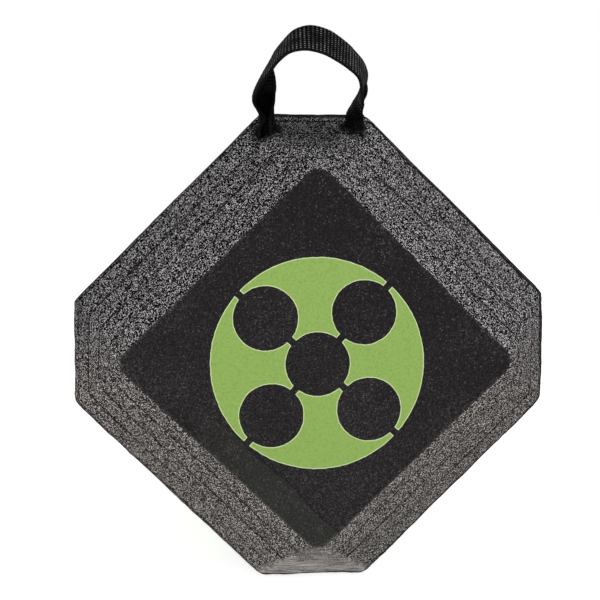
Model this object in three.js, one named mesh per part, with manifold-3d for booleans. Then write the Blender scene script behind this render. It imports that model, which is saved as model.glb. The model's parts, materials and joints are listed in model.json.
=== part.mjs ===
// A hand-carried archery target: a cube of laminated foam with cut edges and corners, standing on one
// of its edge bevels. Every square face carries a printed aiming mark, and a webbing handle stands on
// the upper front corner. Millimetres, +Z up, printed front face towards -Y. The origin is the middle
// of the flat that the block stands on.
import * as THREE from "three";
import { ConvexGeometry } from "three/addons/geometries/ConvexGeometry.js";
import { mergeVertices } from "three/addons/utils/BufferGeometryUtils.js";
import Module from "manifold-3d";

// Foam block
const cubeSide = 230;
const sheetCount = 23; // foam sheets, glued face to face from the front to the back
const edgeCut = 42; // how far each bevel starts back from the cube's edge
const cornerFlat = 6; // the short flat that a corner facet leaves across each face corner

// Printed aiming marks
const discDiameter = 111;
const spotDiameter = 33.5;
const spotSpacing = 36; // from the disc's middle to an outer spot
const tieWidth = 3.7; // the stencil's bars, which stay unprinted
const sixSpotDiameter = 24; // the face with six spots has smaller ones
const sixColumn = 17; // from the disc's middle line to a column of three
const sixRow = 29; // between the rows
const inkThickness = 0.3;
const discSides = 72;
const spotSides = 36;
const frontSkewDegrees = 3.2; // the front mark was printed a little askew
const quarterTurn = 90;
const halfTurn = quarterTurn * 2;
const wholeTurn = quarterTurn * 4;

// Webbing handle
const webbingWidth = 20;
const webbingThickness = 1.6;
const footSpacing = 47.5; // between the middles of the two feet
const handleShift = -1.75; // the handle's middle, off the block's middle
const handleRise = 40; // from the hinge line up to the middle of the webbing at the top
const handleReach = 31.5; // from the hinge line forward to the same place
const tailLength = 45; // how deep a glued end reaches below the hinge line
const tailSheet = 3; // the ends lie behind this sheet, counted from the front
const footLift = 1; // the fixed end's height above the corner facet

// Clearances
const fitGap = 0.3; // between faces that lie together but aren't square to the axes
const hingeGap = 0.6; // between a fixed end and the swinging loop
const cutOverrun = 5; // how far a cutting solid runs past what it cuts

// Sizes that follow from them
const sheetPitch = cubeSide / sheetCount;
const faceOffset = cubeSide / 2;
const faceHalf = faceOffset - edgeCut;
const cornerTrim = cornerFlat / Math.SQRT2;
const bevelDistance = (faceOffset + faceHalf) / Math.SQRT2; // from the block's middle to a bevel
const foldedWidth = webbingWidth / 2;
const foldedThickness = webbingThickness * 2;
const tailPlane = -faceOffset + sheetPitch * tailSheet;
const facetSum = faceOffset + faceHalf + faceHalf - cornerTrim;
const facetHeight = (facetSum + tailPlane) / Math.SQRT2; // the upper front facet at the tails' joint
const hingeHeight = facetHeight + footLift + foldedThickness / 2;

const foamMaterial = new THREE.MeshStandardMaterial({ color: "#5c5b5d", roughness: 0.95 });
const skinMaterial = new THREE.MeshStandardMaterial({ color: "#2b292c", roughness: 0.9 });
const inkMaterial = new THREE.MeshStandardMaterial({ color: "#93b35e", roughness: 0.8 });
const webbingMaterial = new THREE.MeshStandardMaterial({ color: "#17171a", roughness: 0.85 });

const wasm = await Module();
wasm.setup();

// A closed geometry, placed by a matrix, as a solid that can be cut and joined.
function solidOf(geometry, matrix = new THREE.Matrix4()) {
  const bare = geometry.clone().applyMatrix4(matrix);
  bare.deleteAttribute("normal");
  bare.deleteAttribute("uv");
  const merged = mergeVertices(bare);
  return new wasm.Manifold(
    new wasm.Mesh({
      numProp: 3,
      vertProperties: merged.attributes.position.array,
      triVerts: new Uint32Array(merged.index.array),
    }),
  );
}

// A cut or joined solid as a geometry again.
function geometryOf(solid) {
  const mesh = solid.getMesh();
  const geometry = new THREE.BufferGeometry();
  geometry.setAttribute("position", new THREE.BufferAttribute(mesh.vertProperties, 3));
  geometry.setIndex(new THREE.BufferAttribute(mesh.triVerts, 1));
  const flat = geometry.toNonIndexed();
  flat.computeVertexNormals();
  return flat;
}

function namedMesh(name, geometry, material) {
  const mesh = new THREE.Mesh(geometry, material);
  mesh.name = name;
  return mesh;
}

const placedAt = (x, y, z) => new THREE.Matrix4().makeTranslation(x, y, z);

// The whole block about its own middle, turned so that one edge of the cube points straight down. Each
// corner of the solid is one ordering of three distances along the cube's own three directions.
function blockSolid() {
  const distances = [faceOffset, faceHalf, faceHalf - cornerTrim];
  const orders = [[0, 1, 2], [0, 2, 1], [1, 0, 2], [1, 2, 0], [2, 0, 1], [2, 1, 0]];
  const corners = [];
  for (const order of orders)
    for (const signU of [-1, 1])
      for (const signV of [-1, 1])
        for (const signW of [-1, 1]) {
          const u = signU * distances[order[0]];
          const v = signV * distances[order[1]];
          const w = signW * distances[order[2]];
          corners.push(new THREE.Vector3((u - v) / Math.SQRT2, w, (u + v) / Math.SQRT2));
        }
  return solidOf(new ConvexGeometry(corners));
}

// The two places where a glued end of the webbing lies, as x positions of their middles.
const footPlaces = {
  left: handleShift - footSpacing / 2,
  right: handleShift + footSpacing / 2,
};
const tailTop = hingeHeight - foldedThickness / 2 - hingeGap;
const tailMiddle = tailTop - tailLength / 2;

// Foam sheets: the block in the slabs that it is laminated from, front to back. The two sheets that the webbing is
// glued between are hollowed for it, half of its thickness each.
function foamSheets() {
  const sheets = new THREE.Group();
  const block = blockSolid();
  const slab = new THREE.BoxGeometry(cubeSide * 2, sheetPitch, cubeSide * 2);
  const pocket = new THREE.BoxGeometry(
    foldedWidth + fitGap * 2,
    foldedThickness + fitGap * 2,
    tailLength + fitGap * 2,
  );
  for (let i = 0; i < sheetCount; i += 1) {
    const middle = -faceOffset + sheetPitch * (i + 0.5);
    let sheet = block.intersect(solidOf(slab, placedAt(0, middle, 0)));
    if (i === tailSheet - 1 || i === tailSheet)
      for (const x of Object.values(footPlaces))
        sheet = sheet.subtract(solidOf(pocket, placedAt(x, tailPlane, tailMiddle)));
    const name = `foam_sheet_${String(i + 1).padStart(2, "0")}`;
    const outer = i === 0 || i === sheetCount - 1;
    sheets.add(namedMesh(name, geometryOf(sheet), outer ? skinMaterial : foamMaterial));
  }
  return sheets;
}

// Glued ends of the webbing, folded in two lengthwise.
function handleTails() {
  const tails = new THREE.Group();
  for (const [side, x] of Object.entries(footPlaces)) {
    const shape = new THREE.BoxGeometry(foldedWidth, foldedThickness, tailLength);
    const tail = namedMesh(`handle_tail_${side}`, shape, webbingMaterial);
    tail.position.set(x, tailPlane, tailMiddle);
    tails.add(tail);
  }
  return tails;
}

// The loop's route from the left foot over the top to the right foot. Each row holds the shares of half
// the foot spacing, the reach and the rise, then the heading and pitch in degrees of the line across
// the webbing from its near edge to its far edge, and the share of the full width that lies open.
const loopShares = [
  [-1, 0, 0, 0, 0, 0.5],
  [-1.01, 0.09, 0.12, 22, 3, 0.52],
  [-1.04, 0.18, 0.23, 40, 6, 0.7],
  [-1.06, 0.35, 0.39, 50, 17, 0.95],
  [-1.05, 0.48, 0.52, 63, 25, 1],
  [-1.01, 0.6, 0.63, 75, 32, 1],
  [-0.91, 0.7, 0.73, 78, 38, 1],
  [-0.73, 0.83, 0.85, 77, 45, 1],
  [-0.47, 0.95, 0.96, 76, 48, 1],
  [-0.14, 1, 1, 75, 48, 1],
  [0.22, 0.965, 0.97, 72, 45, 1],
  [0.5, 0.885, 0.895, 72, 41, 1],
  [0.79, 0.78, 0.79, 71, 35, 1],
  [1.01, 0.665, 0.68, 70, 28, 1],
  [1.11, 0.53, 0.555, 68, 20, 1],
  [1.12, 0.4, 0.43, 62, 12, 0.95],
  [1.07, 0.25, 0.29, 45, 7, 0.75],
  [1.02, 0.11, 0.15, 24, 3, 0.55],
  [1, 0, 0, 0, 0, 0.5],
];
const loopRings = 64;
const roundSteps = 4; // rings that round off each foot about the hinge line

// Webbing loop: a ribbon swept along that route, with round feet that turn in place on the hinge line.
// Where it isn't fully open it is folded, so it is thicker by as much as it is narrower.
function handleLoop() {
  const places = loopShares.map(
    ([across, reach, rise]) =>
      new THREE.Vector3(across * footSpacing / 2, -reach * handleReach, rise * handleRise),
  );
  const edges = loopShares.map(([, , , heading, pitch, open]) => {
    const h = THREE.MathUtils.degToRad(heading);
    const p = THREE.MathUtils.degToRad(pitch);
    return new THREE.Vector3(Math.cos(p) * Math.cos(h), Math.cos(p) * Math.sin(h), Math.sin(p))
      .multiplyScalar(open);
  });
  const route = new THREE.CatmullRomCurve3(places, false, "centripetal");
  const spread = new THREE.CatmullRomCurve3(edges, false, "centripetal");
  const rings = [];
  const addRing = (centre, along, across, open, roundness) => {
    const side = across.clone().addScaledVector(along, -across.dot(along)).normalize();
    const through = new THREE.Vector3().crossVectors(along, side);
    const halfWidth = webbingWidth * open / 2;
    const halfThickness = webbingThickness / open / 2 * roundness;
    const corners = [[-1, -1], [1, -1], [1, 1], [-1, 1]];
    rings.push(corners.map(([a, b]) => centre.clone()
      .addScaledVector(side, a * halfWidth)
      .addScaledVector(through, b * halfThickness)));
  };
  const addFoot = (t, outward) => {
    const along = route.getTangent(t);
    const across = spread.getPoint(t);
    for (let k = 0; k < roundSteps; k += 1) {
      const step = outward ? k + 1 : roundSteps - k;
      const angle = Math.PI / 2 * step / (roundSteps + 0.5);
      const back = foldedThickness / 2 * Math.sin(angle) * (outward ? 1 : -1);
      const centre = route.getPoint(t).addScaledVector(along, back);
      addRing(centre, along, across, across.length(), Math.cos(angle));
    }
  };
  addFoot(0, false);
  for (let i = 0; i <= loopRings; i += 1) {
    const t = i / loopRings;
    const across = spread.getPoint(t);
    addRing(route.getPoint(t), route.getTangent(t), across, Math.min(across.length(), 1), 1);
  }
  addFoot(1, true);

  const points = rings.flat();
  const sides = rings[0].length;
  const index = [];
  for (let r = 0; r + 1 < rings.length; r += 1)
    for (let s = 0; s < sides; s += 1) {
      const a = r * sides + s;
      const b = r * sides + (s + 1) % sides;
      index.push(a, b, b + sides, a, b + sides, a + sides);
    }
  const last = points.length - sides;
  index.push(0, 3, 2, 0, 2, 1, last, last + 1, last + 2, last, last + 2, last + 3);
  const geometry = new THREE.BufferGeometry().setFromPoints(points);
  geometry.setIndex(index);
  const flat = geometry.toNonIndexed();
  flat.computeVertexNormals();
  const loop = namedMesh("handle_loop", flat, webbingMaterial);
  loop.position.set(handleShift, tailPlane, hingeHeight);
  return loop;
}

// One aiming mark, flat on z = 0 and printed upwards: a disc less its spots and ties. A spot is given by
// its middle and diameter, a tie by its direction in degrees and where it starts along it. The ties cut
// the ink into islands, each given by the angle where it starts and how far round it reaches.
function aimingMark(name, spots, ties, islands) {
  const mark = new THREE.Group();
  const height = inkThickness + cutOverrun * 2;
  const reach = discDiameter / 2 + cutOverrun;
  const standing = new THREE.Matrix4().makeRotationX(Math.PI / 2);
  const turned = (degrees) => new THREE.Matrix4().makeRotationZ(THREE.MathUtils.degToRad(degrees));
  const round = (diameter, depth, sides) =>
    new THREE.CylinderGeometry(diameter / 2, diameter / 2, depth, sides);

  const disc = round(discDiameter, inkThickness, discSides);
  let ink = solidOf(disc, placedAt(0, 0, inkThickness / 2).multiply(standing));
  for (const [x, y, diameter] of spots) {
    const spot = round(diameter, height, spotSides);
    ink = ink.subtract(solidOf(spot, placedAt(x, y, 0).multiply(standing)));
  }
  for (const [angle, start] of ties) {
    const bar = new THREE.BoxGeometry(reach - start, tieWidth, height);
    ink = ink.subtract(solidOf(bar, turned(angle).multiply(placedAt((start + reach) / 2, 0, 0))));
  }
  for (const [part, angle, sweep] of islands) {
    const width = sweep > quarterTurn ? reach * 2 : reach;
    const cutter = new THREE.BoxGeometry(width, reach, height);
    const place = turned(angle).multiply(placedAt(reach - width / 2, reach / 2, 0));
    const island = sweep < wholeTurn ? ink.intersect(solidOf(cutter, place)) : ink;
    mark.add(namedMesh(`print_${name}${part}`, geometryOf(island), inkMaterial));
  }
  return mark;
}

// The six aiming marks, one to six spots as on a die, with opposite faces adding up to seven. Each lies
// on its face of the cube, turned to it by a group of its own.
function aimingMarks() {
  const spotAt = (degrees, distance, diameter = spotDiameter) => {
    const angle = THREE.MathUtils.degToRad(degrees);
    return [Math.cos(angle) * distance, Math.sin(angle) * distance, diameter];
  };
  const diagonals = [0.5, 1.5, 2.5, 3.5].map((turns) => turns * quarterTurn);
  const [upRight, upLeft, downLeft, downRight] = diagonals;
  const middle = spotAt(0, 0);
  const around = diagonals.map((angle) => spotAt(angle, spotSpacing));
  const pair = [around[1], around[3]];
  const pairTies = (start) => [[upLeft, start], [downRight, start]];
  const whole = [["", 0, wholeTurn]];
  const halves = [["_upper", downRight, halfTurn], ["_lower", upLeft, halfTurn]];
  const quarters = [
    ["_top", upRight, quarterTurn],
    ["_left", upLeft, quarterTurn],
    ["_bottom", downLeft, quarterTurn],
    ["_right", downRight, quarterTurn],
  ];
  const sixAngle = THREE.MathUtils.radToDeg(Math.atan2(sixRow, sixColumn));
  const sixAngles = [sixAngle, halfTurn - sixAngle, halfTurn + sixAngle, wholeTurn - sixAngle];
  const sixPlaces = [
    ...sixAngles.map((angle) => [angle, Math.hypot(sixRow, sixColumn)]),
    ...[0, halfTurn].map((angle) => [angle, sixColumn]),
  ];
  const six = sixPlaces.map(([angle, distance]) => spotAt(angle, distance, sixSpotDiameter));
  const marks = {
    front: aimingMark("five", [middle, ...around], diagonals.map((angle) => [angle, 0]), quarters),
    back: aimingMark("two", pair, pairTies(spotSpacing), whole),
    upperRight: aimingMark("one", [middle], pairTies(0), halves),
    lowerLeft: aimingMark("six", six, sixPlaces, whole),
    upperLeft: aimingMark("three", [middle, ...pair], pairTies(0), halves),
    lowerRight: aimingMark("four", around, diagonals.map((angle) => [angle, spotSpacing]), whole),
  };
  marks.front.position.y = -faceOffset;
  marks.front.rotation.set(Math.PI / 2, 0, 0);
  marks.front.rotateZ(THREE.MathUtils.degToRad(frontSkewDegrees));
  marks.back.position.y = faceOffset;
  marks.back.rotation.set(Math.PI / 2, 0, Math.PI, "ZXY");
  const turnedFaces = ["upperRight", "lowerRight", "lowerLeft", "upperLeft"];
  for (const [i, face] of turnedFaces.entries()) {
    const angle = THREE.MathUtils.degToRad(diagonals[i]);
    const distance = faceOffset + fitGap;
    marks[face].position.set(Math.sin(angle) * distance, 0, Math.cos(angle) * distance);
    marks[face].rotation.y = angle;
  }
  return new THREE.Group().add(...Object.values(marks));
}

const target = new THREE.Group();
target.position.z = bevelDistance;
target.add(foamSheets(), handleTails(), handleLoop(), aimingMarks());

export default target;
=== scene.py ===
# A hand-carried archery target: a cube of laminated foam that stands on one of its cut edges. Each
# square face carries a printed aiming mark, and a webbing handle stands on the upper front corner.
import json
import math

import bmesh
import bpy
import numpy as np
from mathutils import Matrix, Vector, noise

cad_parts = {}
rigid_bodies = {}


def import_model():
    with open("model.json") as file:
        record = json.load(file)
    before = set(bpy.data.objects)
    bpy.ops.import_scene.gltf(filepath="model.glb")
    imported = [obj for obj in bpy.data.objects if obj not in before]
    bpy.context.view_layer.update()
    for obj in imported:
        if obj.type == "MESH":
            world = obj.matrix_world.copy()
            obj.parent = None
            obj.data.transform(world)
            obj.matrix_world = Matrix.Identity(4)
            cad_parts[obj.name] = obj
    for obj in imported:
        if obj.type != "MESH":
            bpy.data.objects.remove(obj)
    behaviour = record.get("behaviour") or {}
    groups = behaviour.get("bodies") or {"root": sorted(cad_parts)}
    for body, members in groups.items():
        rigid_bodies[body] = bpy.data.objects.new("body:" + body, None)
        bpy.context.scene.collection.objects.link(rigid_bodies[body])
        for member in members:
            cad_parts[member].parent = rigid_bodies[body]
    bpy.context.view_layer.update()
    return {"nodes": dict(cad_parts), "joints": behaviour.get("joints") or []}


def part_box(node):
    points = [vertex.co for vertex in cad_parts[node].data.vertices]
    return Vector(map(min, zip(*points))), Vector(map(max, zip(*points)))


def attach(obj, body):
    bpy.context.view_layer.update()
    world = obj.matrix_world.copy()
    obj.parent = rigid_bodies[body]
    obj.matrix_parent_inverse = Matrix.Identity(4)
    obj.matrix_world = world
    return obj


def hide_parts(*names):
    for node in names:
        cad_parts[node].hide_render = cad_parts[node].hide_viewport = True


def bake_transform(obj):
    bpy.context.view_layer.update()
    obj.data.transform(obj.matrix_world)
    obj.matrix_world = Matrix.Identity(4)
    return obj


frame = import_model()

mm = 0.001


# Camera: it stands a little left of the block and above its middle, and looks slightly down at the
# printed front face, as the photograph does.
camera_place = (-34.06 * mm, -540.31 * mm, 208.19 * mm)
camera_tilt = 84.39
camera_turn = -3.35
camera_lens = 50.1
film_width = 36
camera_data = bpy.data.cameras.new("camera")
camera_data.sensor_width = film_width
camera_data.lens = camera_lens
camera = bpy.data.objects.new("camera", camera_data)
camera.location = camera_place
camera.rotation_euler = (math.radians(camera_tilt), 0, math.radians(camera_turn))
bpy.context.scene.collection.objects.link(camera)
bpy.context.scene.camera = camera


# Foam block: sheets of closed-cell polyethylene foam, glued face to face into a stack. The stack was
# sawn to a cube, then its edges and corners were sawn off. Only the square faces kept a smooth skin.
sheet_names = sorted(name for name in frame["nodes"] if name.startswith("foam_sheet_"))
front_low, front_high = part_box(sheet_names[0])
waist_low, waist_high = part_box(sheet_names[len(sheet_names) // 2])
half_side = -front_low.y
sheet_pitch = front_high.y - front_low.y
middle_height = (waist_low.z + waist_high.z) / 2
block_middle = Vector((0, 0, middle_height))
root_two = math.sqrt(2)
edge_sum = (waist_high.z - middle_height) * root_two
corner_sum = (front_high.z - middle_height) * root_two + half_side - sheet_pitch
half_face = edge_sum - half_side
disc_radius = 55.5 * mm
sawn_edge_radius = 0.55 * mm
groove_depth = 0.28 * mm
groove_width = 0.4 * mm
# How finely each sheet is shaped: the steps along the outline's long and short sides, closer together
# near the corners, and the rings from its front to its back, closer together near the glue lines.
long_side_steps = 72
short_side_steps = 30
side_steps = [long_side_steps, short_side_steps] * 4
corner_crowding = 0.6
level_shares = (0, 0.03, 0.08, 0.24, 0.5, 0.76, 0.92, 0.97, 1)
# Extra rings follow the bends at the bevels' edges, but none lies as near as this to a glue line.
level_gap = 0.5 * mm
bend_width = 2 * mm
# The points settle onto the rounded edges in a few rounds, each by the slope over a small step.
settling_rounds = 6
probe_share = 0.0005
face_probe = 0.01 * mm
# How far the saw left each corner of the outline from its place, in millimetres to the right and up:
# the front face's four corners, then the corners of the block's widest outline. Both lists go round
# from the right-hand corner's upper end, anticlockwise.
face_strays = (
    (0.7, 0.5), (0.5, -0.4), (0.5, -0.4), (-0.8, 0.9),
    (-0.8, 0.9), (0.5, 2.2), (0.5, 2.2), (0.7, 0.5),
)
outline_strays = (
    (1.9, 1.4), (0.0, -0.5), (1.3, -0.8), (-0.7, -1.3),
    (-2.9, 4.4), (1.8, 0.0), (-0.8, -0.3), (1.9, 2.0),
)
# The outline keeps its true place as far from the block's middle as the turned faces' marks reach.
true_reach = disc_radius + 1.5 * mm
# The waves that the saw left, as their length and height. Each sheet also stands out or back a little
# against its neighbours. All of it dies away towards the printed marks and the block's two ends.
saw_waves = ((42 * mm, 0.9 * mm), (13 * mm, 0.5 * mm), (2.1 * mm, 0.32 * mm))
step_length = 70 * mm
step_height = 0.5 * mm
step_seed = 3.7
print_margin = 4 * mm
print_fade = 3 * mm
face_depth = 0.3 * mm
face_stray_share = 0.35
end_depth = 5 * mm
end_stray_share = 0.15
# The glue lines' grooves have torn edges and stop short of the block's ends, and the pressed faces
# wave gently.
groove_tear_length = 3.5 * mm
groove_tear_share = 0.9
ungrooved_depth = 1 * mm
face_wave_length = 17 * mm
face_wave_height = 0.16 * mm
face_rim = 3 * mm
# The strips of painted shade along the block's outline edges, where they turn away from the light,
# side by
# side from the upper right bevel: how wide they are at the side's start and end, in millimetres, and
# how dark.
shaded_strips = (
    (4.4, 2.2, 0.9), (3.2, 3.2, 1.0), (1.2, 1.2, 0.6), (0.6, 0.6, 0.4),
    (1.4, 1.4, 0.6), (4.2, 4.2, 1.0), (1.6, 2.0, 0.7), (4.8, 6.4, 1.0),
)
side_edges = [half_face, corner_sum - edge_sum] * 4
strip_overlap = 1.2 * mm
# How deep the pressed skin is at the block's two ends, and how far it wraps onto the bevels. Then how
# far in from its edge each ring of such an end lies, and how far behind it the bevels' rings begin.
skin_end_depth = 0.6 * mm
skin_wrap = 0.9 * mm
face_insets = (0.9 * mm, 1.6 * mm, 2.8 * mm, 4.8 * mm, 8 * mm, 12 * mm)
face_edge_gap = 0.35 * mm


def beyond_block(u, v, w):
    """How far points lie outside the block. u, v and w are along the cube's own three directions."""
    a, b, c = abs(u), abs(v), abs(w)
    planes = [a - half_side, b - half_side, c - half_side]
    planes += [(a + b - edge_sum) / root_two, (a + c - edge_sum) / root_two]
    planes += [(b + c - edge_sum) / root_two, (a + b + c - corner_sum) / math.sqrt(3)]
    planes = np.stack(np.broadcast_arrays(*planes))
    return sawn_edge_radius * np.log(np.exp(planes / sawn_edge_radius).sum(0))


def along_sides(corners):
    """Points along the eight sides between the corners, closer together near each corner."""
    corners = np.array(corners)
    points = []
    for steps, start, end in zip(side_steps, corners, np.roll(corners, -1, axis=0)):
        share = np.arange(steps) / steps
        share = share - corner_crowding * np.sin(share * 2 * math.pi) / (2 * math.pi)
        points.append(np.outer(1 - share, start) + np.outer(share, end))
    return np.concatenate(points)


def block_outline(w):
    """The block's outline where it is cut square to its length, w from its middle, as u and v."""
    side = min(half_side, edge_sum - abs(w))
    corner = min(edge_sum, corner_sum - abs(w)) - side
    quarter = [(side, -corner), (side, corner)]
    corners = []
    for cos, sin in ((1, 0), (0, 1), (-1, 0), (0, -1)):
        corners += [(u * cos - v * sin, u * sin + v * cos) for u, v in quarter]
    return along_sides(corners)


def share_between(value, start, end):
    """How far a value is on its way from start to end, as a share from 0 to 1."""
    return np.clip((value - start) / (end - start), 0, 1)


def saw_strays(w):
    """How far the outline's points lie off their place, w from the block's middle, as x and z."""
    depth = share_between(w, -half_side, -half_face)
    fade = share_between(w, -true_reach, -half_face)
    corners = np.array(face_strays) * (1 - depth) + np.array(outline_strays) * depth * fade
    return along_sides(corners) * mm


def in_place(u, v, w):
    """Points of the block, from its own directions to the frame's."""
    return np.stack([(u - v) / root_two, w, (u + v) / root_two + middle_height], -1)


def unevenness(points, number, sawn):
    """How far the saw strayed at each point: slow waves, a step at each sheet and a torn grain."""
    out = np.empty(len(points))
    for i, (point, cut) in enumerate(zip(points, sawn)):
        place = Vector(point)
        stray = sum(noise.noise(place / length) * height for length, height in saw_waves)
        along = Vector((place.x / step_length, number * step_seed, place.z / step_length))
        out[i] = (stray + noise.noise(along) * step_height) * cut
    return out


def sawn_share(u, v, w):
    """1 on the sawn bevels and facets, less on the square faces and 0 where they are printed."""
    distances = np.sort(np.abs(np.stack([u, v, w])), axis=0)
    on_face = distances[2] > half_side - face_depth
    from_middle = np.hypot(distances[0], distances[1])
    clear_of_print = disc_radius + print_margin
    printed = share_between(from_middle, clear_of_print, clear_of_print - print_fade)
    return np.where(on_face, face_stray_share * (1 - printed), 1)


def sheet_levels(start):
    """Where the rings of one sheet lie, from its front to its back."""
    levels = [start + share * sheet_pitch for share in level_shares]
    after_front, before_back = start + level_gap, start + sheet_pitch - level_gap
    bends = [half_face, half_face + skin_wrap, half_face + bend_width, corner_sum - edge_sum]
    for bend in bends:
        levels += [w for w in (-bend, bend) if after_front < w < before_back]
    first, last = -half_side + face_edge_gap, half_side - face_edge_gap
    return sorted({min(max(w, first), last) for w in levels})


def sheet_rings(number, start, levels):
    """Rings of points round one sheet, at each of its levels."""
    rings = []
    for w in levels:
        u, v = block_outline(w).T
        reach = np.hypot(u, v)
        for _ in range(settling_rounds):
            over = beyond_block(u, v, w)
            further = 1 + probe_share
            slope = (beyond_block(u * further, v * further, w) - over) / probe_share
            scale = 1 - over / slope
            u, v = u * scale, v * scale
        to_joint = min(w - start, start + sheet_pitch - w)
        at_end = abs(w) > half_side - ungrooved_depth
        groove = 0 if at_end else groove_depth * math.exp(-(to_joint / groove_width) ** 2)
        depth = np.full_like(u, w)
        points = in_place(u, v, depth)
        from_end = min(1, end_stray_share + (half_side - abs(w)) / end_depth)
        stray = unevenness(points, number, sawn_share(u, v, depth) * from_end)
        tears = np.array([noise.noise(Vector(point) / groove_tear_length) for point in points])
        scale = 1 + (stray - groove * (1 + groove_tear_share * tears)) / reach
        points = in_place(u * scale, v * scale, depth)
        points[:, [0, 2]] += saw_strays(w)
        points[:, 2] = np.maximum(points[:, 2], 0)
        rings.append(points)
    return rings


def face_rings(sign):
    """Rings of points over the front or back face, from its edge inwards."""
    rings = []
    outline = block_outline(half_side)
    for inset in face_insets:
        u, v = (outline * (1 - inset / half_face)).T
        w = np.full_like(u, half_side)
        for _ in range(settling_rounds):
            over = beyond_block(u, v, w)
            slope = (beyond_block(u, v, w + face_probe) - over) / face_probe
            w = w - over / slope
        points = in_place(u, v, sign * w)
        settled = min(1, inset / face_rim) if inset < face_insets[-1] else 0
        for point in points:
            wave = noise.noise(Vector(point) / face_wave_length) * face_wave_height
            point[1] -= sign * (face_wave_height / 2 + wave) * settled
        points[:, [0, 2]] += saw_strays(sign * half_side) * (1 - inset / half_face)
        rings.append(points)
    return rings


def lofted(rings):
    """The points and faces of a closed solid through rings of points, with its ends closed."""
    count = len(rings[0])
    faces = []
    for r in range(len(rings) - 1):
        for i in range(count):
            a, b = r * count + i, r * count + (i + 1) % count
            faces.append((a, b, b + count, a + count))
    last = (len(rings) - 1) * count
    faces += [tuple(range(count))[::-1], tuple(range(last, last + count))]
    return np.concatenate(rings), faces


def cut_edges(levels):
    """For the points of each ring: how far they lie beyond the strip of painted shade along the
    nearest outline edge, and how dark that strip is."""
    values = []
    for w in levels:
        for strip, steps, edge in zip(shaded_strips, side_steps, side_edges):
            first_width, last_width, darkness = strip
            for width in np.linspace(first_width, last_width, steps) * mm:
                beyond = max(abs(w) - edge - width, edge - abs(w) - strip_overlap)
                values.append((beyond, darkness, 0))
    return np.array(values)


def foam_finish_of(levels):
    """0 for each face between two rings that keeps its skin, and 1 for each that is sawn."""
    finishes = []
    for middle in (np.array(levels[:-1]) + np.array(levels[1:])) / 2:
        pressed_end = abs(middle) > half_side - skin_end_depth
        pressed_side = abs(middle) < half_face + skin_wrap
        for side, steps in enumerate(side_steps):
            pressed = pressed_end or (pressed_side and side % 2 == 0)
            finishes += [0 if pressed else 1] * steps
    return finishes


def make_piece(name, points, faces, materials, finish_of=None):
    """A mesh object with its faces turned outwards and shaded smooth."""
    mesh = bpy.data.meshes.new(name)
    mesh.from_pydata([tuple(point) for point in points], [], faces)
    for material in materials:
        mesh.materials.append(material)
    shaping = bmesh.new()
    shaping.from_mesh(mesh)
    bmesh.ops.recalc_face_normals(shaping, faces=shaping.faces)
    for face in shaping.faces:
        face.smooth = True
        if finish_of:
            face.material_index = finish_of[face.index]
    shaping.to_mesh(mesh)
    shaping.free()
    piece = bpy.data.objects.new(name, mesh)
    bpy.context.scene.collection.objects.link(piece)
    return piece


def colour(written):
    """A colour written as sRGB hex, in the linear values that a shader takes."""
    parts = [int(written[i : i + 2], 16) / 255 for i in (1, 3, 5)]
    return [c / 12.92 if c <= 0.04045 else ((c + 0.055) / 1.055) ** 2.4 for c in parts] + [1]


def add_node(material, kind, inputs=None, stops=(), **settings):
    """Adds a node. Settings are its properties; inputs are values, or sockets to link from. Stops are
    the places along a row of colours, from 0 to 1, each with its sRGB hex colour."""
    node = material.node_tree.nodes.new("ShaderNode" + kind)
    for key, value in settings.items():
        setattr(node, key, value)
    for key, value in (inputs or {}).items():
        if isinstance(value, bpy.types.NodeSocket):
            material.node_tree.links.new(value, node.inputs[key])
        else:
            node.inputs[key].default_value = value
    for place, written in stops[2:]:
        node.color_ramp.elements.new(place)
    if stops:
        for element, (place, written) in zip(node.color_ramp.elements, stops):
            element.position = place
            element.color = colour(written)
    return node


def new_finish(name):
    """An empty material, with the place on the piece that its patterns are worked out from."""
    material = bpy.data.materials.new(name)
    material.use_nodes = True
    material.node_tree.nodes.clear()
    place = add_node(material, "TexCoord").outputs["Object"]
    return material, place


def joint_line(material, place, width):
    """1 on the dark glue line between two sheets, fading to 0 over the width, with a torn edge."""
    depth = add_node(material, "SeparateXYZ", {0: place}).outputs["Y"]
    tear = add_node(material, "TexNoise", {"Vector": place, "Scale": 1 / (3 * mm), "Detail": 3.0})
    torn_by = {0: tear.outputs["Fac"], 3: -0.2 * mm, 4: 0.2 * mm}
    torn_by = add_node(material, "MapRange", torn_by).outputs[0]
    strayed = add_node(material, "Math", {0: depth, 1: torn_by}, operation="ADD").outputs[0]
    from_front = add_node(material, "Math", {0: strayed, 1: half_side}, operation="ADD").outputs[0]
    sheets = {0: from_front, 1: sheet_pitch / 2}
    to_joint = add_node(material, "Math", sheets, operation="PINGPONG").outputs[0]
    fade = {0: to_joint, 1: width, 2: 0.25 * width, 3: 0.0, 4: 1.0}
    return add_node(material, "MapRange", fade, interpolation_type="SMOOTHSTEP").outputs[0]


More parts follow.
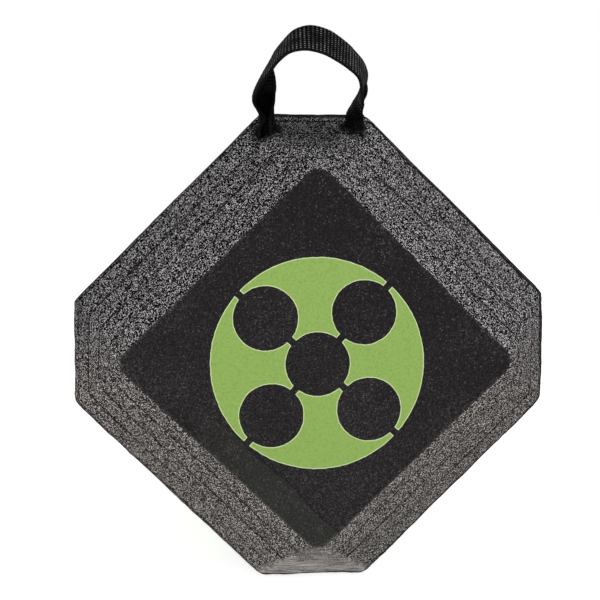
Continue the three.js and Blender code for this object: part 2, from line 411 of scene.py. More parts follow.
def painted_handle_shade(material, place):
    """Painted shade on the foam round the handle: nearly black round each foot of the handle and in
    its hole, and a softer grey between the two feet, a painted shadow of the handle."""
    ragged = add_node(material, "TexNoise", {"Vector": place, "Scale": 1 / (4 * mm)}).outputs["Fac"]
    ragged = add_node(material, "MapRange", {0: ragged, 3: -4 * mm, 4: 4 * mm}).outputs[0]
    fades = []
    for across in (-25.2 * mm, 21.4 * mm):
        foot = {0: place, 1: (across, -79 * mm, middle_height + 121.5 * mm)}
        apart = add_node(material, "VectorMath", foot, operation="DISTANCE").outputs["Value"]
        apart = add_node(material, "Math", {0: apart, 1: ragged}, operation="ADD").outputs[0]
        fades.append({0: apart, 1: 5.5 * mm, 2: 11.5 * mm, 3: 0.06, 4: 1.0})
    narrowed = {0: place, 1: (0.55, 1, 1)}
    narrowed = add_node(material, "VectorMath", narrowed, operation="MULTIPLY").outputs["Vector"]
    between_feet = {0: narrowed, 1: (-1 * mm, -84 * mm, middle_height + 121 * mm)}
    apart = add_node(material, "VectorMath", between_feet, operation="DISTANCE").outputs["Value"]
    fades.append({0: apart, 1: 6 * mm, 2: 22 * mm, 3: 0.52, 4: 1.0})
    shade = 1.0
    for fade in fades:
        fade = add_node(material, "MapRange", fade, interpolation_type="SMOOTHSTEP").outputs[0]
        shade = add_node(material, "Math", {0: shade, 1: fade}, operation="MULTIPLY").outputs[0]
    return shade


def sawn_foam():
    """Cross-linked polyethylene foam, torn open by a saw: cut cells show as light rims and dark pits
    about half a millimetre across, so the surface is quite matt and looks much paler than the skin."""
    material, place = new_finish("sawn_polyethylene_foam")
    parts = add_node(material, "SeparateXYZ", {0: place}).outputs
    cell = 0.42 * mm
    cells = add_node(material, "TexVoronoi", {"Vector": place, "Scale": 1 / cell, "Randomness": 0.8})
    each_cell = add_node(material, "SeparateXYZ", {0: cells.outputs["Color"]}).outputs["X"]
    cell_stops = (
        (0.0, "#010101"), (0.64, "#0b0a0b"), (0.76, "#6f6c6d"), (0.87, "#f4f2f2"), (1.0, "#ffffff"),
    )
    specks = add_node(material, "ValToRGB", {"Fac": each_cell}, cell_stops).outputs["Color"]
    clumps = {"Vector": place, "Scale": 1 / (11 * mm), "Detail": 3.0}
    clumps = add_node(material, "TexNoise", clumps).outputs["Fac"]
    patch_stops = ((0.3, "#e4e4e6"), (0.7, "#ffffff"))
    patches = add_node(material, "ValToRGB", {"Fac": clumps}, patch_stops).outputs["Color"]
    # Painted light thrown up from the floor: the foam is painted warmer and lighter towards the
    # ground.
    rise = add_node(material, "MapRange", {0: parts["Z"], 1: 0.0, 2: 2 * middle_height}).outputs[0]
    tint_stops = (
        (0.0, "#fffcf4"), (0.2, "#fff9f2"), (0.42, "#faf2ec"), (0.58, "#e6e3e5"), (1.0, "#e5e3e6"),
    )
    tint_by_place = add_node(material, "ValToRGB", {"Fac": rise}, tint_stops).outputs["Color"]
    mixed = specks
    for tint in (patches, tint_by_place):
        tone = {"Factor": 1.0, 6: mixed, 7: tint}
        mixed = add_node(material, "Mix", tone, data_type="RGBA", blend_type="MULTIPLY").outputs[2]
    # Dust from the ground has filled the lower bevels' cells, so their grain is fainter.
    filled = add_node(material, "MapRange", {0: rise, 1: 0.2, 2: 0.6, 3: 0.22, 4: 0.0}).outputs[0]
    veil = {"Factor": filled, 6: mixed, 7: colour("#6b6763")}
    mixed = add_node(material, "Mix", veil, data_type="RGBA").outputs[2]
    # The bevels on the upper left and the lower right are painted a little darker, as painted shade.
    up_left = {0: place, 1: (-1 / root_two, 0, 1 / root_two)}
    sideways = add_node(material, "VectorMath", up_left, operation="DOT_PRODUCT").outputs["Value"]
    centred = {0: sideways, 1: middle_height / root_two}
    centred = add_node(material, "Math", centred, operation="SUBTRACT").outputs[0]
    off_middle = add_node(material, "Math", {0: centred}, operation="ABSOLUTE").outputs[0]
    painted_light_share = {0: off_middle, 1: 70 * mm, 2: 100 * mm, 3: 1.0, 4: 0.88}
    painted_light_share = add_node(material, "MapRange", painted_light_share).outputs[0]
    tone = {"Factor": 1.0, 6: mixed, 7: painted_light_share}
    mixed = add_node(material, "Mix", tone, data_type="RGBA", blend_type="MULTIPLY").outputs[2]
    # The glue lines between the sheets show in some places more than in others.
    shown = add_node(material, "MapRange", {0: clumps, 1: 0.36, 2: 0.6, 3: 0.55, 4: 0.95}).outputs[0]
    glued = {0: joint_line(material, place, 0.65 * mm), 1: shown}
    glued = add_node(material, "Math", glued, operation="MULTIPLY").outputs[0]
    glue = {"Factor": glued, 6: mixed, 7: colour("#0f0e10")}
    mixed = add_node(material, "Mix", glue, data_type="RGBA").outputs[2]
    # The corner facet that the block stands on is painted a light cream with scuffed streaks, as
    # painted light thrown up at it by the floor.
    deep = add_node(material, "Math", {0: parts["Y"]}, operation="ABSOLUTE").outputs[0]
    to_corner = {0: parts["Z"], 1: -root_two, 2: deep}
    to_corner = add_node(material, "Math", to_corner, operation="MULTIPLY_ADD").outputs[0]
    facet = corner_sum - root_two * middle_height
    floor_lit_facet = {0: to_corner, 1: facet - 4 * mm, 2: facet - 0.5 * mm, 3: 0.0, 4: 0.6}
    floor_lit_facet = add_node(material, "MapRange", floor_lit_facet).outputs[0]
    drawn_out = {0: place, 1: (0.12, 1, 1)}
    drawn_out = add_node(material, "VectorMath", drawn_out, operation="MULTIPLY").outputs["Vector"]
    scuffs = {"Vector": drawn_out, "Scale": 1 / (1.3 * mm), "Detail": 2.0}
    scuffs = add_node(material, "TexNoise", scuffs).outputs["Fac"]
    streak_stops = ((0.36, "#6f6a68"), (0.5, "#b5afac"), (0.64, "#f6f0ea"))
    streaks = add_node(material, "ValToRGB", {"Fac": scuffs}, streak_stops).outputs["Color"]
    corner = {"Factor": floor_lit_facet, 6: mixed, 7: streaks}
    mixed = add_node(material, "Mix", corner, data_type="RGBA").outputs[2]
    # Its outline edges carry strips of painted shade, where they turn away from the light.
    cut_edge = add_node(material, "Attribute", attribute_name="cut_edge").outputs["Vector"]
    strip = add_node(material, "SeparateXYZ", {0: cut_edge}).outputs
    in_strip = {0: strip["X"], 1: -0.25 * mm, 2: 0.35 * mm, 3: 0.9, 4: 0.0}
    in_strip = add_node(material, "MapRange", in_strip).outputs[0]
    edge_shaded = add_node(material, "Math", {0: in_strip, 1: strip["Y"]}, operation="MULTIPLY").outputs[0]
    edge_shade = {"Factor": edge_shaded, 6: mixed, 7: colour("#0d0c0d")}
    mixed = add_node(material, "Mix", edge_shade, data_type="RGBA").outputs[2]
    # Painted shade round the handle's feet and holes, and the handle's painted shadow between them.
    tone = {"Factor": 1.0, 6: mixed, 7: painted_handle_shade(material, place)}
    mixed = add_node(material, "Mix", tone, data_type="RGBA", blend_type="MULTIPLY").outputs[2]
    relief = {"Height": each_cell, "Strength": 0.6, "Distance": 0.25 * mm}
    bump = add_node(material, "Bump", relief).outputs[0]
    look = {"Base Color": mixed, "Roughness": 0.95, "Specular IOR Level": 0.08, "Normal": bump}
    shader = add_node(material, "BsdfPrincipled", look)
    add_node(material, "OutputMaterial", {"Surface": shader.outputs["BSDF"]})
    return material


def pressed_skin():
    """The foam's own skin, pressed smooth against a hot plate: nearly black and matt, with a faint
    speckle and light scuffs. Where it closes over the sheets' ends the glue lines still show."""
    material, place = new_finish("pressed_foam_skin")
    speckle = {"Vector": place, "Scale": 1 / (0.8 * mm), "Detail": 2.0}
    speckle = add_node(material, "TexNoise", speckle).outputs["Fac"]
    speckle_stops = ((0.36, "#232121"), (0.5, "#3a3838"), (0.62, "#5e5b5b"))
    specks = add_node(material, "ValToRGB", {"Fac": speckle}, speckle_stops).outputs["Color"]
    clouds = {"Vector": place, "Scale": 1 / (38 * mm), "Detail": 4.0}
    clouds = add_node(material, "TexNoise", clouds).outputs["Fac"]
    patch_stops = ((0.35, "#dcdcdc"), (0.7, "#ffffff"))
    patches = add_node(material, "ValToRGB", {"Fac": clouds}, patch_stops).outputs["Color"]
    # Painted light thrown up from the floor: the skin is painted paler towards its lower left.
    down_left = {0: place, 1: (-0.35, 0, -0.94)}
    low = add_node(material, "VectorMath", down_left, operation="DOT_PRODUCT").outputs["Value"]
    low = add_node(material, "MapRange", {0: low, 1: -230 * mm, 2: -30 * mm}).outputs[0]
    tint_stops = ((0.0, "#aba7a9"), (0.35, "#c6c2c3"), (0.65, "#dcd9d7"), (1.0, "#f8f8f4"))
    tint_by_place = add_node(material, "ValToRGB", {"Fac": low}, tint_stops).outputs["Color"]
    mixed = specks
    for tint in (patches, tint_by_place):
        tone = {"Factor": 1.0, 6: mixed, 7: tint}
        mixed = add_node(material, "Mix", tone, data_type="RGBA", blend_type="MULTIPLY").outputs[2]
    # Along the lower left edge a band is tinted a slightly greener, paler tone, with a faint dark
    # crease where the band ends.
    up_right = {0: place, 1: (1 / root_two, 0, 1 / root_two)}
    height = add_node(material, "VectorMath", up_right, operation="DOT_PRODUCT").outputs["Value"]
    wander = {"Vector": place, "Scale": 1 / (26 * mm), "Detail": 2.0}
    wander = add_node(material, "TexNoise", wander).outputs["Fac"]
    wander = add_node(material, "MapRange", {0: wander, 3: -3 * mm, 4: 3 * mm}).outputs[0]
    height = add_node(material, "Math", {0: height, 1: wander}, operation="ADD").outputs[0]
    band_end = middle_height / root_two - half_face + 17 * mm
    in_band = {0: height, 1: band_end - 0.8 * mm, 2: band_end, 3: 1.0, 4: 0.0}
    in_band = add_node(material, "MapRange", in_band).outputs[0]
    to_the_right = add_node(material, "SeparateXYZ", {0: place}).outputs["X"]
    shown = {0: to_the_right, 1: -72 * mm, 2: -30 * mm, 3: 0.0, 4: 0.4}
    shown = add_node(material, "MapRange", shown, interpolation_type="SMOOTHSTEP").outputs[0]
    in_band = add_node(material, "Math", {0: in_band, 1: shown}, operation="MULTIPLY").outputs[0]
    band = {"Factor": in_band, 6: mixed, 7: colour("#4c4f45")}
    mixed = add_node(material, "Mix", band, data_type="RGBA").outputs[2]
    in_crease = {0: height, 1: band_end, 2: 0.6 * mm}
    in_crease = add_node(material, "Math", in_crease, operation="COMPARE").outputs[0]
    in_crease = add_node(material, "Math", {0: in_crease, 1: shown}, operation="MULTIPLY").outputs[0]
    crease = {"Factor": in_crease, 6: mixed, 7: colour("#0d0c0d")}
    mixed = add_node(material, "Mix", crease, data_type="RGBA").outputs[2]
    # Here and there a cell has burst and shows as a light dot.
    pits = add_node(material, "TexVoronoi", {"Vector": place, "Scale": 1 / (0.8 * mm)})
    each_pit = add_node(material, "SeparateXYZ", {0: pits.outputs["Color"]}).outputs["X"]
    rare = add_node(material, "MapRange", {0: clouds, 1: 0.4, 2: 0.62, 3: 0.95, 4: 0.8}).outputs[0]
    chosen = add_node(material, "Math", {0: each_pit, 1: rare}, operation="GREATER_THAN").outputs[0]
    dot = {0: pits.outputs["Distance"], 1: 0.25, 2: 0.5, 3: 0.65, 4: 0.0}
    dot = add_node(material, "MapRange", dot).outputs[0]
    dot = add_node(material, "Math", {0: dot, 1: chosen}, operation="MULTIPLY").outputs[0]
    burst = {"Factor": dot, 6: mixed, 7: colour("#96918e")}
    mixed = add_node(material, "Mix", burst, data_type="RGBA").outputs[2]
    faint = {0: joint_line(material, place, 0.5 * mm), 1: 0.6}
    faint = add_node(material, "Math", faint, operation="MULTIPLY").outputs[0]
    glue = {"Factor": faint, 6: mixed, 7: colour("#121113")}
    mixed = add_node(material, "Mix", glue, data_type="RGBA").outputs[2]
    relief = {"Height": speckle, "Strength": 0.35, "Distance": 0.12 * mm}
    bump = add_node(material, "Bump", relief).outputs[0]
    look = {"Base Color": mixed, "Roughness": 0.8, "Specular IOR Level": 0.12, "Normal": bump}
    shader = add_node(material, "BsdfPrincipled", look)
    add_node(material, "OutputMaterial", {"Surface": shader.outputs["BSDF"]})
    return material


foam_finishes = [pressed_skin(), sawn_foam()]
for number, name in enumerate(sheet_names):
    start = -half_side + number * sheet_pitch
    levels = sheet_levels(start)
    rings = sheet_rings(number, start, levels)
    ends = [1, 1]
    if number == 0:
        rings = face_rings(-1)[::-1] + rings
        levels = [-half_side] * len(face_insets) + levels
        ends[0] = 0
    if number == len(sheet_names) - 1:
        rings = rings + face_rings(1)
        levels = levels + [half_side] * len(face_insets)
        ends[1] = 0
    points, faces = lofted(rings)
    finish_of = foam_finish_of(levels) + ends
    sheet = make_piece(name.replace("foam", "laminated"), points, faces, foam_finishes, finish_of)
    edges = sheet.data.attributes.new("cut_edge", "FLOAT_VECTOR", "POINT")
    edges.data.foreach_set("vector", cut_edges(levels).ravel())
    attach(sheet, "block")
    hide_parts(name)


# Aiming marks: green ink, sprayed through a stencil on each square face. The stencil's spots are
# held by thin bars, which stay bare, and the ink is thinner and paler at its edges.
ink_rim = 0.45 * mm
ink_height = 0.16 * mm
ink_gap = 0.02 * mm
# The sprayed edge is drawn in short steps, and wavers a little from its place.
ink_step = 1.3 * mm
bleed_length = 2.6 * mm
bleed_height = 0.22 * mm
# Corners closer together than this are one corner. A face is the ink's outer one where its direction
# is at least this share straight outwards.
same_point = 0.001 * mm
facing_share = 0.9
ink_names = sorted(name for name in frame["nodes"] if name.startswith("print_"))


def face_direction(name):
    """The direction of the square face that an island of ink lies on."""
    low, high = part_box(name)
    from_middle = (low + high) / 2 - block_middle
    u = (from_middle.x + from_middle.z) / root_two
    v = (from_middle.z - from_middle.x) / root_two
    if max(abs(u), abs(v)) <= half_side:
        return Vector((0, math.copysign(1, from_middle.y), 0))
    across = Vector((u, 0, u)) if abs(u) > abs(v) else Vector((-v, 0, v))
    return across.normalized()


def ink_outline(node, outward):
    """The outline of an island of ink, in order from its leftmost corner, as points on its outer
    face."""
    shaping = bmesh.new()
    shaping.from_mesh(node.data)
    bmesh.ops.remove_doubles(shaping, verts=shaping.verts, dist=same_point)
    top = {face for face in shaping.faces if face.normal.dot(outward) > facing_share}
    follows = {}
    for face in top:
        for loop in face.loops:
            if sum(other in top for other in loop.edge.link_faces) == 1:
                follows[loop.vert] = loop.link_loop_next.vert
    vertex = min(follows, key=lambda corner: corner.co[:])
    points = []
    for _ in range(len(follows)):
        points.append(vertex.co.copy())
        vertex = follows[vertex]
    shaping.free()
    return points


def bled_outline(points, outward):
    """The same outline in short steps, with the slight waver that sprayed ink has at its edge."""
    out = []
    for start, end in zip(points, points[1:] + points[:1]):
        steps = max(1, round((end - start).length / ink_step))
        sideways = (end - start).normalized().cross(outward)
        for i in range(steps):
            point = start.lerp(end, i / steps)
            waver = noise.noise(point / bleed_length) * bleed_height
            out.append(point + sideways * waver)
    return out


def stencil_ink(name, written, specked):
    """Water-based spray ink on foam: flat, with the foam's specks showing through it a little."""
    material, place = new_finish(name)
    specks = {"Vector": place, "Scale": 1 / (1.1 * mm), "Detail": 3.0}
    specks = add_node(material, "TexNoise", specks).outputs["Fac"]
    stops = ((0.3, specked), (0.55, written))
    tones = add_node(material, "ValToRGB", {"Fac": specks}, stops).outputs["Color"]
    relief = {"Height": specks, "Strength": 0.25, "Distance": 0.1 * mm}
    bump = add_node(material, "Bump", relief).outputs[0]
    look = {"Base Color": tones, "Roughness": 0.72, "Specular IOR Level": 0.25, "Normal": bump}
    shader = add_node(material, "BsdfPrincipled", look)
    add_node(material, "OutputMaterial", {"Surface": shader.outputs["BSDF"]})
    return material


ink_finishes = [
    stencil_ink("green_stencil_ink", "#89a855", "#7d9c4b"),
    stencil_ink("thin_ink_at_the_edge", "#c6d5a2", "#b4c688"),
]


def ink_island(name, outward):
    """One island of ink as a thin film on the foam, with its thinner rim all round."""
    outline = bled_outline(ink_outline(frame["nodes"][name], outward), outward)
    mesh = bpy.data.meshes.new(name)
    shaping = bmesh.new()
    corners = []
    for point in outline:
        height = (point - block_middle).dot(outward)
        corners.append(shaping.verts.new(point + outward * (half_side + ink_height - height)))
    face = shaping.faces.new(corners)
    face.normal_update()
    bmesh.ops.inset_region(
        shaping, faces=[face], thickness=ink_rim, use_boundary=True, use_even_offset=True
    )
    for part in shaping.faces:
        part.material_index = 0 if part == face else 1
    grown = bmesh.ops.extrude_face_region(shaping, geom=shaping.faces[:])["geom"]
    under = [item for item in grown if isinstance(item, bmesh.types.BMVert)]
    bmesh.ops.translate(shaping, verts=under, vec=-outward * (ink_height - ink_gap))
    bmesh.ops.recalc_face_normals(shaping, faces=shaping.faces)
    shaping.to_mesh(mesh)
    shaping.free()
    for finish in ink_finishes:
        mesh.materials.append(finish)
    island = bpy.data.objects.new(name.replace("print", "ink"), mesh)
    bpy.context.scene.collection.objects.link(island)
    return island


for name in ink_names:
    island = ink_island(name, face_direction(name))
    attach(island, "block")
    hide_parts(name)


# Carrying handle: one length of black polypropylene webbing, 20 mm wide. Both ends are rolled up
# lengthwise, go down between the third and fourth sheets through a torn hole and are glued in there.
hinge = Vector(frame["joints"][0]["pos_m"])
tail_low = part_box("handle_tail_left")[0]
webbing_width = 20 * mm
webbing_thickness = 1.6 * mm
# Half the distance between the two ends and the height of their feet, in millimetres from the hinge.
# The feet stop a little short, and the holes go a little deeper than they do.
foot_gap = 0.8
hole_gap = 1.2
half_spacing = 23.75
tail_foot = (tail_low.z - hinge.z) / mm + foot_gap
# The weave: how far apart the crosswise and the lengthwise yarns lie, and how far they stand out. Real
# webbing is finer; its yarns are drawn as coarse as this so that they show.
pick = 2 * mm
end_spacing = 1.6 * mm
yarn_height = 0.1 * mm
# The dark woven rim along each side.
selvedge = 1 * mm
# Across the webbing, in shares of half its width: where the raised yarns end, where its edge begins to
# round off and how thin it gets, and where it turns over when it is pressed flat.
yarns_share = 0.9
full_thickness_share = 0.94
thinnest_share = 0.2236
fold_shares = (0.42, 0.58)
# A curl, in radians, that can't be told from none.
nearly_flat = 0.001
# How far it must be curled, in degrees, for its hollow side and its rolled-in edges to turn black with
# painted shade, and the part of its width that is rolled in.
hollow_curls = (12, 42)
rolled_curls = (20, 80)
rolled_shares = (0.2, 0.45)
# How finely it is shaped, along its length and across.
curve_points = 3000
ring_spacing = 0.5 * mm
across_steps = 32
# The left and the right end of the webbing, in millimetres above the hinge: where it is still curled
# and where it is quite flat in the foam, how far up it is painted black as painted shade near the
# foam, and how far that fades out.
ends_flat = ((-12, -20), (2, -9))
ends_shaded_to = (19, 8)
shade_fade = 9
# Each row is a place along the webbing's middle, in millimetres from the hinge's middle, the heading
# and pitch of the line across it, and half the angle that it is curled through, in degrees. A curl is
# positive where the webbing's inner side is the hollow one, and negative where its outer side is.
loop_rows = [
    (-half_spacing, 0.8, tail_foot, 0, 0, 108),
    (-half_spacing, 0.8, -32, 0, 0, 108),
    (-half_spacing, 0.8, -21, 0, 0, 112),
    (-23.6, 4.4, -16, -2, 0, 120),
    (-23.1, 8.6, -11, -8, 0, 132),
    (-22.7, 10.1, -6, -14, 0, 140),
    (-22.5, 10.2, 0, -16, 0, 142),
    (-22.9, 9.2, 4.5, -8, 0, 160),
    (-23.7, 6.8, 8.3, 4, 1, 168),
    (-24.6, 3.2, 11.6, 14, 4, 156),
    (-26.3, -2, 14.6, 26, 9, 122),
    (-27.9, -7, 17.4, 40, 14, 84),
    (-27.2, -12.5, 21.2, 58, 22, 50),
    (-25, -18, 25.5, 77, 30, 20),
    (-21.6, -22, 29.4, 83, 34, 5),
    (-17, -26.1, 34.2, 80, 38, 0),
    (-11, -29.9, 38.6, 77, 44, 0),
    (-3.3, -31.5, 40.1, 75, 47, 0),
    (5.2, -30.4, 38.6, 73, 45, 0),
    (11.8, -27.9, 35.7, 72, 41, 0),
    (18.6, -24.6, 31.6, 72, 35, 0),
    (24, -20.9, 27, 74, 28, 0),
    (25.9, -16.4, 21.8, 76, 20, -10),
    (25.1, -11, 16.5, 90, 9, -36),
    (22.6, -3.4, 11.5, 98, 4, -94),
    (20.7, 2.3, 6.5, 106, 0, -124),
    (21.5, 5.2, 1.5, 113, 0, -132),
    (23.1, 6.2, -4, 121, 0, -146),
    (23.7, 4, -10, 140, 0, -140),
    (half_spacing, 1, -15, 165, 0, -138),
    (half_spacing, -0.8, -21, 180, 0, -140),
    (half_spacing, -0.8, -32, 180, 0, -140),
    (half_spacing, -0.8, tail_foot, 180, 0, -140),
]


def smooth_through(rows, count):
    """Many rows on a smooth curve through the given ones, spaced evenly along it."""
    rows = np.array(rows)
    steps = np.sqrt(np.linalg.norm(np.diff(rows[:, :3], axis=0), axis=1))
    knots = np.concatenate([[0], np.cumsum(steps)])
    slopes = np.gradient(rows, knots, axis=0)
    at = np.linspace(0, knots[-1], count)
    i = np.clip(np.searchsorted(knots, at, side="right") - 1, 0, len(steps) - 1)
    h = steps[i][:, None]
    t = ((at - knots[i]) / steps[i])[:, None]
    curve = (2 * t**3 - 3 * t**2 + 1) * rows[i] + (t**3 - 2 * t**2 + t) * h * slopes[i]
    curve += (3 * t**2 - 2 * t**3) * rows[i + 1] + (t**3 - t**2) * h * slopes[i + 1]
    curve[:, :3] *= mm
    return curve


def spaced_along(curve, spacing):
    """The same curve in rows that lie evenly along its length, and how far along each one is."""
    lengths = np.linalg.norm(np.diff(curve[:, :3], axis=0), axis=1)
    along = np.concatenate([[0], np.cumsum(lengths)])
    at = np.linspace(0, along[-1], round(along[-1] / spacing) + 1)
    return np.stack([np.interp(at, along, column) for column in curve.T], -1), at


def curled_section(share, curl, flat):
    """The webbing's middle surface across its width: how far each point lies sideways and towards
    its inner side, and its direction there. In the foam it is pressed flat, edge to edge."""
    curl = curl or nearly_flat
    radius = webbing_width / 2 / curl
    sideways = radius * np.sin(share * curl)
    inward = radius * (1 - np.cos(share * curl))
    half_fold = webbing_width / 4 - webbing_thickness / 4
    turned_over = share_between(np.abs(share), *fold_shares)
    flat_side = np.sign(share) * np.minimum(np.abs(share), 1 - np.abs(share)) * 2 * half_fold
    sideways = sideways * (1 - flat) + flat_side * flat
    inward = inward * (1 - flat) + math.copysign(webbing_thickness, curl) * turned_over * flat
    slope = np.stack([np.gradient(sideways), np.gradient(inward)], -1)
    return sideways, inward, slope / np.linalg.norm(slope, axis=1)[:, None]


def webbing_rings(rows, along):
    """Rings of points round the webbing with its yarns raised, and for each point its place in the
    weave: how far along and across it is, and how much painted light it gets, less in the painted
    shade of its hollows, rolled-in edges and lowest part."""
    rings, weave = [], []
    share = np.linspace(-1, 1, across_steps + 1)
    off_middle = np.abs(share)
    width_at = share * webbing_width / 2
    in_yarn = np.abs(np.sin(math.pi * width_at / end_spacing)) * (off_middle < yarns_share)
    rounded = np.sqrt(1 - share_between(off_middle, full_thickness_share, 1) ** 2)
    rounded = np.maximum(rounded, thinnest_share)
    for row, way, length in zip(rows, np.gradient(rows[:, :3], axis=0), along):
        way = way / np.linalg.norm(way)
        heading, pitch, curl = np.radians(row[3:])
        level = math.cos(pitch)
        line = np.array([level * math.cos(heading), level * math.sin(heading), math.sin(pitch)])
        side = line - way * line.dot(way)
        side /= np.linalg.norm(side)
        through = np.cross(way, side)
        rise = row[2] / mm
        end = 0 if row[0] < 0 else 1
        flat = share_between(rise, *ends_flat[end])
        sideways, inward, slope = curled_section(share, curl, flat * flat * (3 - 2 * flat))
        raised = yarn_height * np.cos(length / pick * 2 * math.pi) * in_yarn
        curl_degrees = row[5]
        # Painted shade: the rolled-in edges, the hollow side and the part near the foam are marked to
        # be painted black.
        rolled = share_between(abs(curl_degrees), *rolled_curls)
        rolled = rolled * share_between(off_middle, *rolled_shares)
        above_shade = share_between(rise, ends_shaded_to[end], ends_shaded_to[end] + shade_fade)
        for outer in (1, -1):
            out_by = outer * (webbing_thickness / 2 * rounded + raised)
            place_side = sideways + slope[:, 1] * out_by
            place_out = slope[:, 0] * out_by - inward
            points = row[:3] + np.outer(place_side, side) + np.outer(place_out, through)
            in_hollow = share_between(-outer * curl_degrees, *hollow_curls)
            painted_light_share = (1 - in_hollow) * (1 - rolled) * above_shade
            in_weave = np.stack([np.full_like(share, length), width_at, painted_light_share], -1)
            rings.append(points[::outer] + np.array(hinge))
            weave.append(in_weave[::outer])
    ring_points = [np.concatenate(pair) for pair in zip(rings[::2], rings[1::2])]
    return ring_points, np.concatenate(weave)


def woven_webbing():
    """Black polypropylene webbing in a plain weave, a little dusty: its raised yarns are painted
    light, a painted sheen, and the hollows between them stay black, painted shade. The inside of each
    rolled-up end, its rolled-in edges and its part near the foam are painted black as painted shade
    too."""
    material, place = new_finish("woven_polypropylene")
    in_weave = add_node(material, "Attribute", attribute_name="weave").outputs["Vector"]
    parts = add_node(material, "SeparateXYZ", {0: in_weave}).outputs
    picks = {0: parts["X"], 1: math.pi / pick}
    picks = add_node(material, "Math", picks, operation="MULTIPLY").outputs[0]
    picks = add_node(material, "Math", {0: picks}, operation="SINE").outputs[0]
    ends = {0: parts["Y"], 1: math.pi / end_spacing}
    ends = add_node(material, "Math", ends, operation="MULTIPLY").outputs[0]
    ends = add_node(material, "Math", {0: ends}, operation="SINE").outputs[0]
    floats = add_node(material, "Math", {0: picks, 1: ends}, operation="MULTIPLY").outputs[0]
    floats = add_node(material, "Math", {0: floats}, operation="ABSOLUTE").outputs[0]
    # The raised yarns are painted light as a painted sheen, and the hollows between them black as
    # painted shade.
    yarn_stops = ((0.3, "#020202"), (0.65, "#202022"), (1.0, "#9a9a9e"))
    yarns = add_node(material, "ValToRGB", {"Fac": floats}, yarn_stops).outputs["Color"]
    fuzz = {"Vector": place, "Scale": 1 / (0.6 * mm), "Detail": 2.0}
    fuzz = add_node(material, "TexNoise", fuzz).outputs["Fac"]
    fuzz_stops = ((0.35, "#8c8c8c"), (0.6, "#ffffff"))
    strands = add_node(material, "ValToRGB", {"Fac": fuzz}, fuzz_stops).outputs["Color"]
    tint_by_place = {"Vector": place, "Scale": 1 / (7 * mm), "Detail": 2.0}
    tint_by_place = add_node(material, "TexNoise", tint_by_place).outputs["Fac"]
    tint_stops = ((0.4, "#8a8a8a"), (0.62, "#ffffff"))
    dusty = add_node(material, "ValToRGB", {"Fac": tint_by_place}, tint_stops).outputs["Color"]
    mixed = yarns
    for tint in (strands, dusty):
        tone = {"Factor": 1.0, 6: mixed, 7: tint}
        mixed = add_node(material, "Mix", tone, data_type="RGBA", blend_type="MULTIPLY").outputs[2]
    # Where the weave's painted light share is low, the webbing is painted black as painted shade.
    tone = {"Factor": 1.0, 6: mixed, 7: colour("#555557")}
    black = add_node(material, "Mix", tone, data_type="RGBA", blend_type="MULTIPLY").outputs[2]
    painted_shading = {"Factor": parts["Z"], 6: black, 7: mixed}
    mixed = add_node(material, "Mix", painted_shading, data_type="RGBA").outputs[2]
    from_middle = add_node(material, "Math", {0: parts["Y"]}, operation="ABSOLUTE").outputs[0]
    rim = webbing_width / 2 - selvedge
    at_rim = {0: from_middle, 1: rim, 2: rim + selvedge / 2, 3: 0.0, 4: 0.8}
    at_rim = add_node(material, "MapRange", at_rim).outputs[0]
    dark_rim = {"Factor": at_rim, 6: mixed, 7: colour("#0f0f10")}
    mixed = add_node(material, "Mix", dark_rim, data_type="RGBA").outputs[2]
    relief = {"Height": fuzz, "Strength": 0.5, "Distance": 0.15 * mm}
    bump = add_node(material, "Bump", relief).outputs[0]
    look = {"Base Color": mixed, "Roughness": 0.7, "Specular IOR Level": 0.06, "Normal": bump}
    shader = add_node(material, "BsdfPrincipled", look)
    add_node(material, "OutputMaterial", {"Surface": shader.outputs["BSDF"]})
    return material


rows, along = spaced_along(smooth_through(loop_rows, curve_points), ring_spacing)
rings, weave = webbing_rings(rows, along)
points, faces = lofted(rings)
handle = make_piece("webbing_handle", points, faces, [woven_webbing()])
in_weave = handle.data.attributes.new("weave", "FLOAT_VECTOR", "POINT")
in_weave.data.foreach_set("vector", weave.ravel())
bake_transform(handle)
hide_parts("handle_loop", "handle_tail_left", "handle_tail_right")

# The torn holes, left and right: rings from above the foam down to the tail's foot, as the height from
# the hinge, the middle's place across and back, half the width and the depth, in millimetres, and the
# angle that the ring is turned through, in degrees.
hole_foot = tail_foot - hole_gap
torn_holes = (
    (
        (12, -23.7, 5.3, 5.4, 5.6, 0),
        (4, -23.5, 5.4, 5.1, 5.1, 0),
        (-2, -23.7, 6, 5.1, 4.9, 0),
        (-9, -23.6, 5.8, 5.1, 4.7, 0),
        (-13, -23.7, 4.2, 5.2, 4.6, 0),
        (-19, -half_spacing, 0.7, 5.3, 2.5, 0),
        (hole_foot, -half_spacing, 0, 5.2, 1.9, 0),
    ),
    (
        (12, 24.3, 5, 5.4, 5, -30),
        (2, 24.5, 6.8, 5.2, 4.4, -50),
        (-4, 24.3, 6.9, 5.3, 3.3, -59),
        (-10, 24, 4.9, 5.4, 3, -40),
        (-16, half_spacing, 1.4, 5.4, 2.6, -12),
        (-21, half_spacing, 0, 5.3, 2.1, 0),
        (hole_foot, half_spacing, 0, 5.2, 1.9, 0),
    ),
)
torn_sheets = ("laminated_sheet_03", "laminated_sheet_04")
hole_steps = 40
# Below 1, this makes each ring a little squarer than an ellipse.
roundness = 0.8
# How far the torn edge strays, over what length, and how far down from the hinge in millimetres.
tear_height = 0.4 * mm
tear_length = 3.1 * mm
torn_down_to = -19


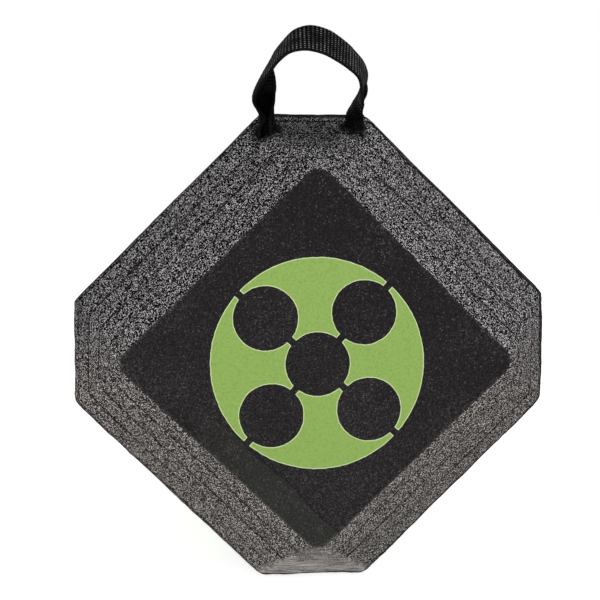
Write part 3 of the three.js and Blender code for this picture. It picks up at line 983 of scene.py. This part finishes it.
def torn_hole(hole_rings):
    """The shape of one hole: its outline wavers where the foam has torn."""
    turn = np.linspace(0, 2 * math.pi, hole_steps, endpoint=False)
    across_share = np.sign(np.cos(turn)) * np.abs(np.cos(turn)) ** roundness
    back_share = np.sign(np.sin(turn)) * np.abs(np.sin(turn)) ** roundness
    rings = []
    for height, across, back, half_width, half_depth, turned in hole_rings:
        x, y = across_share * half_width, back_share * half_depth
        cos, sin = math.cos(math.radians(turned)), math.sin(math.radians(turned))
        x, y = x * cos - y * sin + across, x * sin + y * cos + back
        ring = np.stack([x, y, np.full_like(x, height)], -1) * mm + np.array(hinge)
        if height > torn_down_to:
            for point in ring:
                point[:2] += tear_height * noise.noise(Vector(point) / tear_length)
        rings.append(ring)
    points, faces = lofted(rings)
    return make_piece("torn_hole", points, faces, foam_finishes, [1] * len(faces))


for hole_rings in torn_holes:
    hole = torn_hole(hole_rings)
    for name in torn_sheets:
        sheet = bpy.data.objects[name]
        cut = sheet.modifiers.new("hole", "BOOLEAN")
        cut.object = hole
        cut.operation = "DIFFERENCE"
        settled = sheet.evaluated_get(bpy.context.evaluated_depsgraph_get())
        whole = sheet.data
        sheet.data = bpy.data.meshes.new_from_object(settled)
        sheet.modifiers.clear()
        bpy.data.meshes.remove(whole)
    bpy.data.objects.remove(hole)


# Floor and light: a pale floor under a white sky. The light is soft and comes from the front, and the
# floor throws some of it back up at the lower bevels.
floor_reach = 30
floor_glow = 0.72
floor_mesh = bpy.data.meshes.new("floor")
floor_corners = [(-floor_reach, -floor_reach, 0), (floor_reach, -floor_reach, 0)]
floor_corners += [(floor_reach, floor_reach, 0), (-floor_reach, floor_reach, 0)]
floor_mesh.from_pydata(floor_corners, [], [(0, 1, 2, 3)])
floor = bpy.data.objects.new("floor", floor_mesh)
bpy.context.scene.collection.objects.link(floor)
floor_finish, _ = new_finish("pale_floor")
floor_seen = add_node(floor_finish, "LightPath").outputs["Is Camera Ray"]
glow = add_node(floor_finish, "MapRange", {0: floor_seen, 3: 0.0, 4: floor_glow}).outputs[0]
floor_look = {
    "Base Color": colour("#f8f8f8"),
    "Roughness": 1.0,
    "Specular IOR Level": 0.0,
    "Emission Color": colour("#ffffff"),
    "Emission Strength": glow,
}
floor_shader = add_node(floor_finish, "BsdfPrincipled", floor_look)
add_node(floor_finish, "OutputMaterial", {"Surface": floor_shader.outputs["BSDF"]})
floor_mesh.materials.append(floor_finish)

# The sky is white to the eye. It lights the block more strongly from its rim than from above.
light_from_rim = 0.8
light_from_above = 0.4
world = bpy.data.worlds.new("white_surround")
bpy.context.scene.world = world
world.use_nodes = True
world.node_tree.nodes.clear()
sky_seen = add_node(world, "LightPath").outputs["Is Camera Ray"]
direction = add_node(world, "TexCoord").outputs["Generated"]
way_up = add_node(world, "SeparateXYZ", {0: direction}).outputs["Z"]
ambient = {0: way_up, 1: 0.0, 2: 0.8, 3: light_from_rim, 4: light_from_above}
ambient = add_node(world, "MapRange", ambient).outputs[0]
strength = add_node(world, "MapRange", {0: sky_seen, 3: ambient, 4: 1.0}).outputs[0]
sky = add_node(world, "Background", {"Color": colour("#ffffff"), "Strength": strength})
add_node(world, "OutputWorld", {"Surface": sky.outputs[0]})


def add_softbox(name, place, size, watts):
    """A square lamp that faces the block's middle. Its size is the length of its side in metres."""
    lamp_data = bpy.data.lights.new(name, "AREA")
    lamp_data.energy = watts
    lamp_data.size = size
    lamp = bpy.data.objects.new(name, lamp_data)
    lamp.location = place
    lamp.rotation_euler = (block_middle - Vector(place)).to_track_quat("-Z", "Y").to_euler()
    bpy.context.scene.collection.objects.link(lamp)


add_softbox("front_softbox", (0.0, -1.8, 0.35), 1.3, 15)
add_softbox("right_softbox", (1.4, -1.0, 0.6), 0.7, 5.5)
add_softbox("low_left_softbox", (-1.2, -1.2, 0.12), 0.7, 4)
bpy.context.scene.view_settings.view_transform = "Standard"
